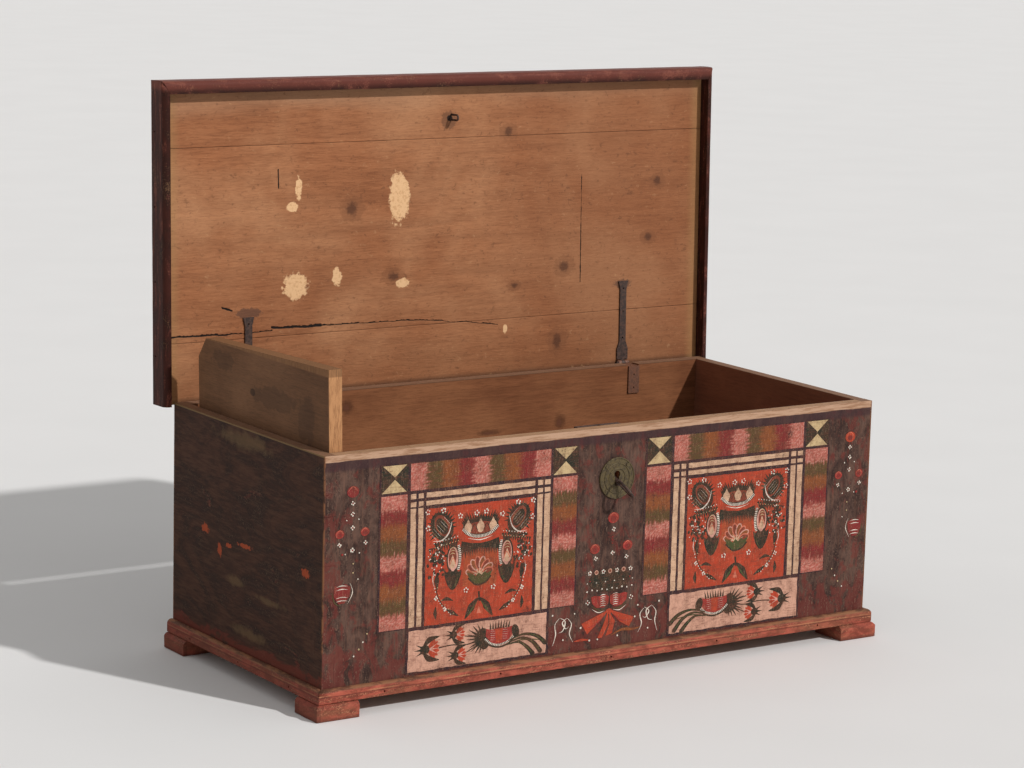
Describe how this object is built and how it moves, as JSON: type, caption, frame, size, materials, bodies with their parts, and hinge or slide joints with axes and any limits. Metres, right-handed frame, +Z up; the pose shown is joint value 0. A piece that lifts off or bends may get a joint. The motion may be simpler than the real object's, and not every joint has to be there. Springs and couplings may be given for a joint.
{
  "type": "painted board chest",
  "caption": "Low rectangular wooden chest on block feet with a hinged lid, an inner till with its own lid, a key lock and a folk-painted front.",
  "frame": {"origin": "on the floor under the middle of the carcass, which is also the middle of the open chest's box within a few millimetres", "axes": "+X to the right along the front as seen from the front, +Y from the front to the back, +Z up"},
  "size_m": [1.2452, 0.6644, 1.0492],
  "materials": {
    "carcass_wood": "worn dark paint outside, bare brown wood inside",
    "bare_wood": "bare aged softwood",
    "lid_wood": "bare aged softwood inside, worn dark paint outside",
    "moulding_wood": "worn dark red paint",
    "red_wood": "worn red paint",
    "wrought_iron": "forged, dark with rust",
    "lock_iron": "forged sheet, dark",
    "old_brass": "tarnished olive brown"
  },
  "bodies": {
    "carcass": {"back_board": "carcass_wood", "bolt_ledge": "lock_iron", "bottom_board_1": "bare_wood", "bottom_board_2": "bare_wood", "bottom_board_3": "bare_wood", "bottom_nails": "wrought_iron", "escutcheon": "old_brass", "escutcheon_pins": "old_brass", "foot_front_left": "red_wood", "foot_front_right": "red_wood", "foot_nails": "wrought_iron", "foot_rear_left": "red_wood", "foot_rear_right": "red_wood", "front_board": "carcass_wood", "hinge_leaf_left": "wrought_iron", "hinge_leaf_right": "wrought_iron", "hinge_pin_left": "wrought_iron", "hinge_pin_right": "wrought_iron", "leaf_nails": "wrought_iron", "left_side_board": "carcass_wood", "lock_case": "lock_iron", "lock_nails": "lock_iron", "lock_plate": "lock_iron", "plinth_front": "red_wood", "plinth_left": "red_wood", "plinth_nails": "wrought_iron", "plinth_right": "red_wood", "right_side_board": "carcass_wood", "till_bottom": "bare_wood", "till_side": "bare_wood"},
    "lid": {"hinge_strap_left": "wrought_iron", "hinge_strap_right": "wrought_iron", "lid_board_front": "lid_wood", "lid_board_middle": "lid_wood", "lid_board_rear": "lid_wood", "lid_moulding_front": "moulding_wood", "lid_moulding_left": "moulding_wood", "lid_moulding_nails": "wrought_iron", "lid_moulding_right": "moulding_wood", "lid_staple": "wrought_iron", "strap_nails": "wrought_iron"},
    "till_lid": {"till_lid": "bare_wood"},
    "key": {"key": "wrought_iron"},
    "bolt": {"lock_bolt": "lock_iron"}
  },
  "joints": [
    {"name": "lid_hinge", "type": "hinge", "parent": "carcass", "child": "lid", "pos_m": [0, 0.29, 0.45715], "axis": [1, 0, 0], "range_deg": [0, 91.4]},
    {"name": "till_lid_hinge", "type": "hinge", "parent": "carcass", "child": "till_lid", "pos_m": [-0.56118, 0, 0.398], "axis": [0, 1, 0], "range_deg": [0, 91.4]},
    {"name": "key_turn", "type": "hinge", "parent": "carcass", "child": "key", "pos_m": [0.008, -0.263, 0.366], "axis": [0, 0.9397, 0.342], "range_deg": [0, 240]},
    {"name": "bolt_slide", "type": "slide", "parent": "carcass", "child": "bolt", "axis": [1, 0, 0], "range_m": [0, 0.014]}
  ],
  "couplings": [
    {"joint": "till_lid_hinge", "follows": "lid_hinge", "ratio": 1},
    {"joint": "bolt_slide", "follows": "key_turn", "m_per_rad": 0.003342}
  ]
}
